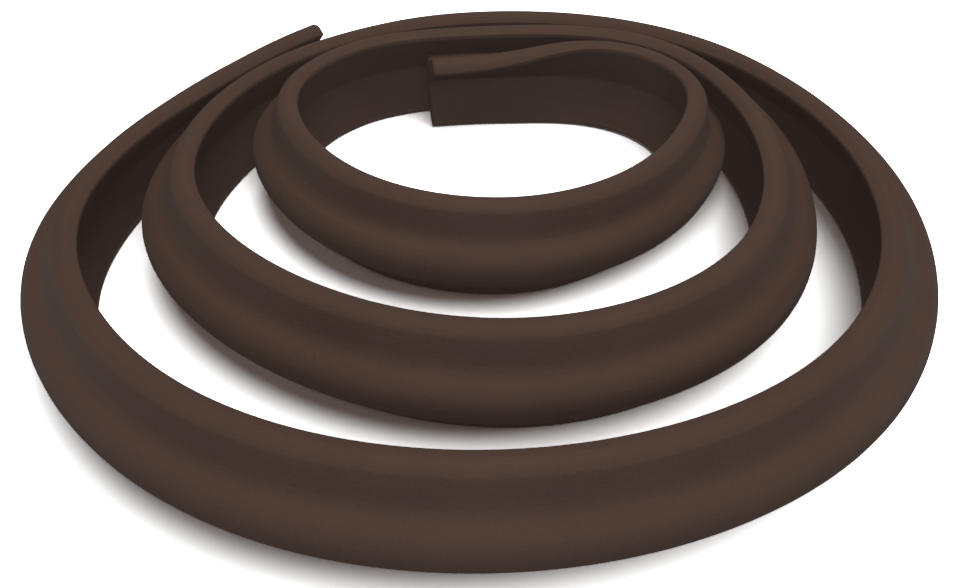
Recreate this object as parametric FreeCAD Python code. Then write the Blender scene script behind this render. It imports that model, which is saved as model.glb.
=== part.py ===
import FreeCAD, Part
import math
import os

os.makedirs("parts", exist_ok=True)

# Foam edge guard: one extruded L strip with a rounded, bulging corner, wound
# into a loose coil and standing on the edge of its lower leg.
# Millimetres, +Z up.  The coil winds counter-clockwise seen from above, from
# its outer end to its inner end.

# ---- strip section ----------------------------------------------------------
thickness = 7.3                       # foam thickness of each leg
leg_inside = 20.1                     # inner face of a leg, crease to tip
tip_radius = 0.83 * thickness         # rounded outer corner of each tip
bulge_offset = 0.625 * thickness       # bulge circle's centre beyond the crease
bulge_radius = 1.08 * thickness      # soft corner that bulges outwards
flare_radius = 0.87 * thickness       # hollow where a leg swells into the bulge
half_closing = 21.4                   # each leg's lean, so they open to 137 deg
end_fold = 18.0                       # the legs fold this much more at the inner end
fold_reach = 130.0                    # degrees of coil over which they do so
sink = 0.5                            # how far the soft foot is pressed flat

# ---- coil plan --------------------------------------------------------------
clearance = 0.5                       # air left between nested turns
nest_pitch = bulge_offset + bulge_radius + clearance
step = 30.0                           # degrees between the plan stations
outer_end = 148.0                     # polar angle of the outer end
inner_end = 1217.0                    # polar angle of the inner end
section_step = 15.0                   # degrees between lofted sections

# Crease line of the inner turn: radius at 840, 870 ... 1230 degrees.
inner_radius = [60.0, 77.5, 93.5, 95.0, 93.0, 87.0,
                77.0, 70.0, 68.0, 59.5, 47.0, 40.0, 44.5, 66.0]
# Spare room beyond the nested pitch, at 480 ... 810 and 120 ... 450 degrees:
# the turns lie together at the back and fall apart towards the front.
middle_slack = [13.0, 4.5, 8.5, 32.5, 42.5, 47.5,
                41.0, 21.0, 5.5, 4.0, 4.0, 3.5]
outer_slack = [9.5, 5.5, 7.0, 23.5, 36.0, 32.5,
               30.0, 24.5, 14.5, 9.0, 10.0, 12.0]
# Roll of the strip about its own length at the same stations, outer end
# first: positive leans the upper leg in over the coil's middle.
outer_roll = [20, 20, 19, 6, 0, -2, 1, 9, 18, 25, 27, 26]
middle_roll = [25, 17, 6, 4, -1, -1, 2, 6, 10, 12, 12, 11]
inner_roll = [8, 5, 1, -2, -4, -5, -7, -7, -6, -4, 3, 13, 18, 19]


def coil_radii():
    """Station radii, outer end first: each turn adds the pitch and its slack."""
    middle = []
    for k in range(12):
        middle.append(inner_radius[k] + nest_pitch + middle_slack[k])
    outer = []
    for k in range(12):
        outer.append(middle[k] + nest_pitch + outer_slack[k])
    return outer + middle + inner_radius


def interpolated(points):
    """Spline through plan points."""
    curve = Part.BSplineCurve()
    curve.interpolate([FreeCAD.Vector(x, y, 0) for x, y in points])
    return curve


radii = coil_radii()
rolls = outer_roll + middle_roll + inner_roll
plan_points = []
roll_points = []
for k in range(len(radii)):
    angle = math.radians(120.0 + step * k)
    plan_points.append((radii[k] * math.cos(angle), radii[k] * math.sin(angle)))
    roll_points.append((step * k, rolls[k]))
plan = interpolated(plan_points)
roll_curve = interpolated(roll_points)
plan_range = (plan.FirstParameter, plan.LastParameter)


def at_angle(angle):
    """Point, outward direction and roll of the strip at a polar angle."""
    low, high = plan_range
    turns = 0.0
    # bisection on the winding angle, which only grows along the plan
    for _ in range(50):
        mid = 0.5 * (low + high)
        here = plan.value(mid)
        share = (mid - plan_range[0]) / (plan_range[1] - plan_range[0])
        rough = 120.0 + step * (len(radii) - 1) * share
        exact = math.degrees(math.atan2(here.y, here.x))
        turns = round((rough - exact) / 360.0)
        if exact + 360.0 * turns < angle:
            low = mid
        else:
            high = mid
    here = plan.value(low)
    along = plan.tangent(low)[0]
    outward = FreeCAD.Vector(along.y, -along.x, 0)
    # the roll curve runs straight in angle, so its parameter is found the same way
    low, high = roll_curve.FirstParameter, roll_curve.LastParameter
    for _ in range(50):
        mid = 0.5 * (low + high)
        if roll_curve.value(mid).x + 120.0 < angle:
            low = mid
        else:
            high = mid
    return here, outward, roll_curve.value(low).y


def closing(angle):
    """Lean of each leg, in radians: more towards the inner end, which no bend holds open."""
    near = 1.0 - (inner_end - angle) / fold_reach
    near = min(max(near, 0.0), 1.0)
    return math.radians(half_closing + end_fold * near * near * (3 - 2 * near))


def leg_corners(crease, across, tipward, lean):
    """Key points of one leg: inner tip, tip arc, flat outer face, flare arc."""
    def at(a, b):
        return (crease[0] + a * across[0] + b * tipward[0],
                crease[1] + a * across[1] + b * tipward[1])

    ball_a = bulge_offset * math.cos(lean)
    ball_b = -bulge_offset * math.sin(lean)
    reach = bulge_radius + flare_radius
    flare_a = thickness + flare_radius
    flare_b = ball_b + math.sqrt(reach ** 2 - (flare_a - ball_a) ** 2)
    half = math.sqrt(0.5) * tip_radius
    tip_a = thickness - tip_radius
    tip_b = leg_inside - tip_radius
    # point on the bulge where the flare hands over to it
    hand_a = ball_a + (flare_a - ball_a) * bulge_radius / reach
    hand_b = ball_b + (flare_b - ball_b) * bulge_radius / reach
    swing = 0.5 * (math.pi + math.atan2(hand_b - flare_b, hand_a - flare_a) % (2 * math.pi))
    return {
        "inner_tip": at(0, leg_inside),
        "tip_start": at(tip_a, leg_inside),
        "tip_mid": at(tip_a + half, tip_b + half),
        "tip_end": at(thickness, tip_b),
        "flare_start": at(thickness, flare_b),
        "flare_mid": at(flare_a + flare_radius * math.cos(swing),
                        flare_b + flare_radius * math.sin(swing)),
        "flare_end": at(hand_a, hand_b),
    }


def section(angle):
    """Closed outline of the strip, standing upright across the coil."""
    here, outward, roll = at_angle(angle)
    lean = closing(angle)
    top_lean = lean + math.radians(roll)
    foot_lean = lean - math.radians(roll)
    # height of the crease: the lowest point of the foot touches the floor
    height = leg_inside * math.cos(foot_lean)
    if foot_lean > 0:
        height += (thickness - tip_radius) * math.sin(foot_lean)
        height += tip_radius * (1 - math.cos(foot_lean))
    crease = (0.0, height - sink)
    top = leg_corners(crease, (math.cos(top_lean), math.sin(top_lean)),
                      (-math.sin(top_lean), math.cos(top_lean)), lean)
    foot = leg_corners(crease, (math.cos(foot_lean), -math.sin(foot_lean)),
                       (-math.sin(foot_lean), -math.cos(foot_lean)), lean)
    middle = 0.5 * (top_lean - foot_lean)
    nose = (crease[0] + (bulge_offset + bulge_radius) * math.cos(middle),
            crease[1] + (bulge_offset + bulge_radius) * math.sin(middle))

    def place(point):
        return FreeCAD.Vector(here.x + outward.x * point[0],
                              here.y + outward.y * point[0], point[1])

    def line(a, b):
        return Part.makeLine(place(a), place(b))

    def arc(a, b, c):
        # cubic that follows the circle through the three points
        circle = Part.Arc(place(a), place(b), place(c))
        first, last = circle.FirstParameter, circle.LastParameter
        pull = 4.0 / 3.0 * math.tan(0.25 * (last - first)) * circle.toShape().Curve.Radius
        start, stop = circle.value(first), circle.value(last)
        curve = Part.BezierCurve()
        curve.setPoles([start, start + circle.tangent(first)[0] * pull,
                        stop - circle.tangent(last)[0] * pull, stop])
        return curve.toShape()

    return Part.Wire([
        line(crease, top["inner_tip"]),
        line(top["inner_tip"], top["tip_start"]),
        arc(top["tip_start"], top["tip_mid"], top["tip_end"]),
        line(top["tip_end"], top["flare_start"]),
        arc(top["flare_start"], top["flare_mid"], top["flare_end"]),
        arc(top["flare_end"], nose, foot["flare_end"]),
        arc(foot["flare_end"], foot["flare_mid"], foot["flare_start"]),
        line(foot["flare_start"], foot["tip_end"]),
        arc(foot["tip_end"], foot["tip_mid"], foot["tip_start"]),
        line(foot["tip_start"], foot["inner_tip"]),
        line(foot["inner_tip"], crease),
    ])


def stretch(start, stop):
    """Solid length of strip between two winding angles."""
    count = max(2, int(math.ceil((stop - start) / section_step)))
    outlines = []
    for k in range(count + 1):
        outlines.append(section(start + (stop - start) * k / count))
    return Part.makeLoft(outlines, True, False)


lengths = {
    "outer_turn": stretch(outer_end, 480.0),
    "middle_turn": stretch(480.0, 840.0),
    "inner_turn": stretch(840.0, inner_end),
}

# The foot is pressed flat where it rests: everything below the floor goes.
floor = Part.makeBox(800, 800, 40, FreeCAD.Vector(-400, -400, -40))
cut = {}
for name in lengths:
    cut[name] = lengths[name].cut(floor)

# Origin: middle of the coil's footprint, on the floor.
whole = FreeCAD.BoundBox()
for name in cut:
    whole.add(cut[name].optimalBoundingBox(True, False))
shift = FreeCAD.Vector(-whole.Center.x, -whole.Center.y, 0)

for name in cut:
    shape = cut[name].copy()
    shape.translate(shift)
    solids = shape.Solids
    if len(solids) != 1 or not shape.isValid():
        print("check", name, len(solids), shape.isValid())
    solids[0].exportStep("parts/" + name + ".step")
    print(name, round(solids[0].Volume), len(solids[0].Faces))
print("bbox", whole, "shift", shift)
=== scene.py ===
"""A dark brown foam edge guard, wound into a loose coil and standing on its edge."""
import math
import bpy
import numpy as np
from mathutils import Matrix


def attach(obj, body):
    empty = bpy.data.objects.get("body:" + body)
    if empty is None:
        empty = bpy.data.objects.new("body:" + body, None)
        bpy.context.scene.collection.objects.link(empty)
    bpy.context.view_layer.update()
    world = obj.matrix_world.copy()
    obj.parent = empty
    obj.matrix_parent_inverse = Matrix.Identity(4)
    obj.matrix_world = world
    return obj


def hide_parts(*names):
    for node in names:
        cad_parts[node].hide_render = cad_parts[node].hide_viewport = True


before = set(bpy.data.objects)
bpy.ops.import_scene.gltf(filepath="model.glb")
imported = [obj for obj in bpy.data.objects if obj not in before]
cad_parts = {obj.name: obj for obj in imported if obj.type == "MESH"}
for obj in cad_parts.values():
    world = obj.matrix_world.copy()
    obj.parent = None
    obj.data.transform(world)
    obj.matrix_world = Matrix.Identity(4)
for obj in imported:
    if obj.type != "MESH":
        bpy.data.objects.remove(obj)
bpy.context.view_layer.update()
scene = bpy.context.scene
scene.view_settings.view_transform = "Standard"

# ==== foam strip =============================================================
# One length of closed-cell foam rubber, extruded as an L with a soft, bulging
# corner and cut square at both ends.  It stands on the edge of its lower leg,
# wound loosely into almost three turns that only its own stiffness holds.

# ---- plan: the crease line seen from above, in millimetres and degrees ------
thick = 7.3                          # foam thickness of each leg
ball_at = 0.625 * thick              # the bulge's centre, beyond the crease
ball_r = 1.08 * thick                # the bulge's radius
clearance = 0.5                      # air left between nested turns
pitch = ball_at + ball_r + clearance
first_station, station_step = 120.0, 30.0
outer_end, inner_end = 148.0, 1217.0

# radius of the inner turn at its stations, and the spare room beyond the
# nested pitch that the middle and the outer turn have at theirs
inner = np.array([60, 77.5, 93.5, 95, 93, 87, 77, 70, 68, 59.5, 47, 40, 44.5, 66])
middle_slack = np.array([13, 4.5, 8.5, 32.5, 42.5, 47.5, 41, 21, 5.5, 4, 4, 3.5])
outer_slack = np.array([9.5, 5.5, 7, 23.5, 36, 32.5, 30, 24.5, 14.5, 9, 10, 12])
# roll of the strip about its own length, a row for each turn, outer turn first:
# a positive one leans the upper leg in over the coil's middle
rolls = [20, 20, 19, 6, 0, -2, 1, 9, 18, 25, 27, 26,
         25, 17, 6, 4, -1, -1, 2, 6, 10, 12, 12, 11,
         8, 5, 1, -2, -4, -5, -7, -7, -6, -4, 3, 13, 18, 19]


def through(stations, values, at):
    """Natural cubic spline.

    The bend at each station is solved for, so that neighbouring cubics meet
    with one slope.  It is zero at both ends and runs straight in between.
    """
    s, v = np.asarray(stations, float), np.asarray(values, float)
    gap, rise = np.diff(s), np.diff(v) / np.diff(s)
    count = len(s)
    rows, right = np.eye(count), np.zeros(count)
    k = np.arange(1, count - 1)
    rows[k, k - 1] = gap[:-1]
    rows[k, k] = 2 * (gap[:-1] + gap[1:])
    rows[k, k + 1] = gap[1:]
    right[1:-1] = 6 * np.diff(rise)
    bend = np.linalg.solve(rows, right)
    i = np.clip(np.searchsorted(s, at) - 1, 0, count - 2)
    a, b, g = s[i + 1] - at, at - s[i], gap[i]
    curved = (bend[i] * a ** 3 + bend[i + 1] * b ** 3) / (6 * g)
    from_left = (v[i] / g - bend[i] * g / 6) * a
    from_right = (v[i + 1] / g - bend[i + 1] * g / 6) * b
    return curved + from_left + from_right


def walk(run, start):
    """Crease line at distances along the chords, and the angle wound up to each.

    Both plan coordinates are splines of the distance from station to station.
    The angle is the point's direction from the coil's pole, carried on past
    full turns, and its first value is the start angle.
    """
    line = np.stack([through(chord, knots[:, 0], run), through(chord, knots[:, 1], run)], 1)
    wound = np.degrees(np.unwrap(np.arctan2(line[:, 1], line[:, 0])))
    return line, wound + (start - wound[0])


def unit(vectors):
    """Each vector divided by its length."""
    return vectors / np.linalg.norm(vectors, axis=1, keepdims=True)


def distances(points):
    """Running total of the straight steps from point to point, from zero."""
    return np.append(0, np.cumsum(np.linalg.norm(np.diff(points, axis=0), axis=1)))


middle = inner[:len(middle_slack)] + pitch + middle_slack
outer = middle + pitch + outer_slack
radius = np.concatenate([outer, middle, inner])
angle = first_station + station_step * np.arange(len(radius))
bearing = np.radians(angle)
knots = radius[:, None] * np.stack([np.cos(bearing), np.sin(bearing)], 1)
chord = distances(knots)
# a fine walk over all the stations finds where the two square cuts fall, and
# the sections are then spaced evenly between them
search_steps, section_count = 1400, 1040
run = np.linspace(0, chord[-1], search_steps)
turned = walk(run, first_station)[1]
cuts = np.interp([outer_end, inner_end], turned, run)
plan, turned = walk(np.linspace(*cuts, section_count), outer_end)
along = unit(np.gradient(plan, axis=0))
outward = np.stack([along[:, 1], -along[:, 0]], 1)

# ---- section: across the strip, with the crease at its origin ---------------
leg = 20.1                           # inner face of a leg, crease to tip
flare_r = 0.87 * thick               # hollow where a leg swells into the bulge
bevel = 0.55 * thick                 # reach of the tip's soft outer corner
bevel_power = 1.6                    # 1 is a chamfer, 2 a round
lip_r = 0.8                          # tip's inner corner
crease_r = 0.5                       # the crease is softened by this much
half_closing = 21.4                  # each leg's lean, in degrees
end_fold = 18.0                      # the legs fold this much more at the inner end
fold_reach = 130.0                   # degrees of coil over which they do so
sink = 0.5                           # how far the soft foot is pressed flat
side_points, lip_points, tip_points = 12, 4, 13
face_points, hollow_points, swell_points = 7, 6, 8


def arc(centre, r, start, stop, count):
    """Points on a circle: its centre plus r times the cosine and sine of each direction."""
    t = np.linspace(start, stop, count)
    return np.stack([centre[0] + r * np.cos(t), centre[1] + r * np.sin(t)], 1)


def section(lean):
    """Closed outline of the L.

    One leg is drawn along its own axes, from the crease up its inner face,
    over the tip and down its outer face to the middle of the bulge.  It is
    then turned by the lean and mirrored.  The tip's outer corner is a
    superellipse, whose two reaches raised to the bevel's power add up to one.
    """
    ball = np.array([ball_at * math.cos(lean), -ball_at * math.sin(lean)])
    flare = np.array([thick + flare_r, 0.0])
    reach = ball_r + flare_r
    flare[1] = ball[1] + math.sqrt(reach ** 2 - (flare[0] - ball[0]) ** 2)
    meet = (ball - flare) * flare_r / reach
    side = np.linspace([0, crease_r], [0, leg - lip_r], side_points)
    lip = arc((lip_r, leg - lip_r), lip_r, math.pi, math.pi / 2, lip_points)
    round_tip = arc((0, 0), 1, math.pi / 2, 0, tip_points).clip(0)
    tip = round_tip ** (2 / bevel_power) * bevel + [thick - bevel, leg - bevel]
    face = np.linspace([thick, leg - bevel], flare - [flare_r, 0], face_points)[1:-1]
    handover = math.atan2(meet[1], meet[0]) % (2 * math.pi)
    hollow = arc(flare, flare_r, math.pi, handover, hollow_points)
    swell = arc(ball, ball_r, math.atan2(-meet[1], -meet[0]), -lean, swell_points)[1:]
    half = np.concatenate([side, lip, tip, face, hollow, swell])
    across = [math.cos(lean), math.sin(lean)]
    tipward = [-math.sin(lean), math.cos(lean)]
    half = half[:, :1] * across + half[:, 1:] * tipward
    return np.concatenate([half, half[-2::-1] * [1, -1]])


# the legs close up towards the inner end, which no bend holds open
near = np.clip(1 - (inner_end - turned) / fold_reach, 0, 1)
leans = np.radians(half_closing + end_fold * near ** 2 * (3 - 2 * near))
outline = np.stack([section(lean) for lean in leans])

# ---- mesh: each section rolled, set on the floor and placed on the plan -----
roll = np.radians(through(angle, rolls, turned))
c, s = np.cos(roll)[:, None], np.sin(roll)[:, None]
out = outline[:, :, 0] * c - outline[:, :, 1] * s
high = outline[:, :, 0] * s + outline[:, :, 1] * c
high = np.maximum(high - high.min(1, keepdims=True) - sink, 0)
flat = plan[:, None, :] + out[..., None] * outward[:, None, :]
point = np.concatenate([flat, high[..., None]], 2)
# the coil's middle goes to the origin
corners = point.reshape(-1, 3)
centre = (corners.min(0) + corners.max(0)) / 2 * [1, 1, 0]
point -= centre
per_metre = 1000
rows, cols = point.shape[:2]
i, j = np.meshgrid(np.arange(rows - 1), np.arange(cols), indexing="ij")
k = (j + 1) % cols
quads = np.stack([i * cols + j, i * cols + k, (i + 1) * cols + k, (i + 1) * cols + j], 2)
outer_cut = tuple(range(cols))[::-1]
inner_cut = tuple(range((rows - 1) * cols, rows * cols))
faces = quads.reshape(-1, 4).tolist() + [outer_cut, inner_cut]
mesh = bpy.data.meshes.new("strip")
mesh.from_pydata((point.reshape(-1, 3) / per_metre).tolist(), [], faces)
mesh.shade_smooth()
# knife-cut ends stay flat
for cut in mesh.polygons[-2:]:
    cut.use_smooth = False
# UV in metres: along the strip, and round its section
length = distances(plan)
edge = np.linalg.norm(outline[0] - np.roll(outline[0], 1, axis=0), axis=1)
around = np.cumsum(edge)
u = length[np.stack([i, i, i + 1, i + 1], 2)]
v = around[j][..., None] + np.array([0, 1, 1, 0]) * edge[k][..., None]
sides = np.stack([u.ravel(), v.ravel()], 1)
layout = mesh.uv_layers.new(name="strip")
layout.data.foreach_set("uv", np.concatenate([sides, outline[0], outline[0]]).ravel() / per_metre)
strip = bpy.data.objects.new("foam_strip", mesh)
scene.collection.objects.link(strip)
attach(strip, "root")
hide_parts("outer_turn", "middle_turn", "inner_turn")

# ---- foam: matt and dark brown, with fine cells and lengthwise streaks ------
cells_per_metre, clouds_per_metre = 1500, 45
streaks_along, streaks_across = 14, 1100
dark_brown, light_brown = (0.062, 0.035, 0.0245, 1), (0.077, 0.0435, 0.031, 1)
foam = bpy.data.materials.new("foam")
foam.use_nodes = True
nodes, links = foam.node_tree.nodes, foam.node_tree.links
skin = nodes["Principled BSDF"]
skin.inputs["Roughness"].default_value = 0.75
skin.inputs["Specular IOR Level"].default_value = 0.35
where = nodes.new("ShaderNodeTexCoord")


def noise(label, scale, layers, source):
    """Noise from 0 to 1, with so many grains to a metre of the coordinates.

    Each further layer has grains half the size and half the strength.
    """
    texture = nodes.new("ShaderNodeTexNoise")
    texture.label = label
    texture.inputs["Scale"].default_value = scale
    texture.inputs["Detail"].default_value = layers
    links.new(source, texture.inputs["Vector"])
    return texture.outputs["Fac"]


def add_share(texture, share, rest=None):
    """The texture times its share, plus the rest."""
    step = nodes.new("ShaderNodeMath")
    step.operation = "MULTIPLY_ADD"
    links.new(texture, step.inputs[0])
    step.inputs[1].default_value = share
    step.inputs[2].default_value = 0
    if rest is not None:
        links.new(rest, step.inputs[2])
    return step.outputs[0]


cells = noise("cells", cells_per_metre, 4, where.outputs["Object"])
clouds = noise("clouds", clouds_per_metre, 3, where.outputs["Object"])
stretch = nodes.new("ShaderNodeMapping")
stretch.inputs["Scale"].default_value = (streaks_along, streaks_across, 1)
links.new(where.outputs["UV"], stretch.inputs["Vector"])
streaks = noise("streaks", 1, 2, stretch.outputs["Vector"])
tone = add_share(streaks, 0.2, add_share(clouds, 0.3, add_share(cells, 0.5)))
tint = nodes.new("ShaderNodeValToRGB")
for stop, place, brown in zip(tint.color_ramp.elements, (0.35, 0.65), (dark_brown, light_brown)):
    stop.position = place
    stop.color = brown
links.new(tone, tint.inputs["Fac"])
links.new(tint.outputs["Color"], skin.inputs["Base Color"])
pores = nodes.new("ShaderNodeBump")
pores.inputs["Strength"].default_value = 0.35
pores.inputs["Distance"].default_value = 0.0003
links.new(add_share(streaks, 0.35, cells), pores.inputs["Height"])
links.new(pores.outputs["Normal"], skin.inputs["Normal"])
mesh.materials.append(foam)

# ==== floor ==================================================================
# A sheet of white paper, wide enough to run out of sight, just under the foam.
# It shows white, and is grey to everything but the camera, so that it sends
# little light back up to the foam.
floor_width, floor_drop = 12, 0.0004
grey, bright = 0.22, 3.6
bpy.ops.mesh.primitive_plane_add(size=floor_width, location=(0, 0, -floor_drop))
floor = bpy.context.object
floor.name = "floor"
paper = bpy.data.materials.new("paper")
paper.use_nodes = True
nodes, links = paper.node_tree.nodes, paper.node_tree.links
sheet = nodes["Principled BSDF"]
sheet.inputs["Base Color"].default_value = (grey, grey, grey, 1)
sheet.inputs["Roughness"].default_value = 0.9
white = nodes.new("ShaderNodeBsdfDiffuse")
white.inputs["Color"].default_value = (bright, bright, bright, 1)
path = nodes.new("ShaderNodeLightPath")
pick = nodes.new("ShaderNodeMixShader")
links.new(path.outputs["Is Camera Ray"], pick.inputs["Fac"])
links.new(sheet.outputs["BSDF"], pick.inputs[1])
links.new(white.outputs["BSDF"], pick.inputs[2])
links.new(pick.outputs["Shader"], nodes["Material Output"].inputs["Surface"])
floor.data.materials.append(paper)

# ==== light ==================================================================
# A warm soft box overhead and a plain one in front, a weak fill from all six
# sides, and a broad sun of the floor's own.  The boxes and the fill reach the
# foam alone, and the floor's sun reaches the floor alone.
world = bpy.data.worlds.new("studio")
world.use_nodes = True
scene.world = world
nodes, links = world.node_tree.nodes, world.node_tree.links
air = nodes["Background"]
path = nodes.new("ShaderNodeLightPath")
# white where the camera sees it, and dim as a light
level = nodes.new("ShaderNodeMapRange")
level.inputs["To Min"].default_value = 0.05
level.inputs["To Max"].default_value = 1.0
links.new(path.outputs["Is Camera Ray"], level.inputs["Value"])
links.new(level.outputs["Result"], air.inputs["Strength"])
air.inputs["Color"].default_value = (1, 1, 1, 1)
foam_only = bpy.data.collections.new("foam_only")
foam_only.objects.link(strip)
floor_only = bpy.data.collections.new("floor_only")
floor_only.objects.link(floor)


def lamp(name, kind, strength, reaches):
    """New lamp that lights one collection alone; a box's strength is in watts."""
    holder = bpy.data.objects.new(name, bpy.data.lights.new(name, kind))
    scene.collection.objects.link(holder)
    holder.data.energy = strength
    holder.light_linking.receiver_collection = reaches
    return holder


def softbox(name, place, watts):
    """Square area lamp that faces the coil's middle.

    It tips by the angle whose tangent is its distance out over its height, and
    turns by its direction from the coil.
    """
    box = lamp(name, "AREA", watts, foam_only)
    box.data.size = 0.7
    box.location = place
    x, y, z = place
    box.rotation_euler = (math.atan2(math.hypot(x, y), z), 0, math.atan2(x, -y))
    return box


softbox("key_box", (0.1, 0.15, 1.3), 8).data.color = (1.0, 0.84, 0.73)
# even out to the paper's edge, with a soft shadow beside the coil
floor_sun = lamp("floor_sun", "SUN", 2.3, floor_only)
floor_sun.data.angle = 1.1
floor_sun.rotation_euler = (math.radians(4), math.radians(22), 0)
softbox("front_box", (0.05, -1.1, 0.85), 3.8)
# fill without shadows: where it comes from, the lamp's turn and its strength
for side, turn, strength in (("above", (0, 0, 0), 0.7), ("below", (180, 0, 0), 0.1),
                             ("front", (90, 0, 0), 0.8), ("behind", (-90, 0, 0), 0.5),
                             ("right", (0, 90, 0), 0.7), ("left", (0, -90, 0), 0.7)):
    fill = lamp("fill_" + side, "SUN", strength, foam_only)
    fill.data.color = (0.95, 0.98, 1.0)
    fill.data.angle = 1.0
    fill.data.use_shadow = False
    fill.rotation_euler = np.radians(turn)

# ==== camera =================================================================
# A forearm's length from the coil's middle, in front of it and above, looking
# down over all of its turns.
eye = np.array([-19.025, -327.23, 203.2631])    # millimetres from the coil's pole
down, spin = 0.6672, 0.0034                     # radians below level, and about the view
film_width = 36                                 # millimetres
focal_share = 0.94895397                        # focal length over the film's width
camera = bpy.data.objects.new("camera", bpy.data.cameras.new("camera"))
scene.collection.objects.link(camera)
scene.camera = camera
camera.location = (eye - centre) / per_metre
# the tip up from straight down comes first, and then the spin
tip_half, spin_half = (math.pi / 2 - down) / 2, spin / 2
camera.rotation_mode = "QUATERNION"
camera.rotation_quaternion = (
    math.cos(tip_half) * math.cos(spin_half), math.sin(tip_half) * math.cos(spin_half),
    -math.sin(tip_half) * math.sin(spin_half), math.cos(tip_half) * math.sin(spin_half))
camera.data.sensor_width = film_width
camera.data.lens = focal_share * film_width
camera.data.shift_x = 0.0036610879
camera.data.shift_y = -0.0313807531
camera.data.clip_start = 0.01
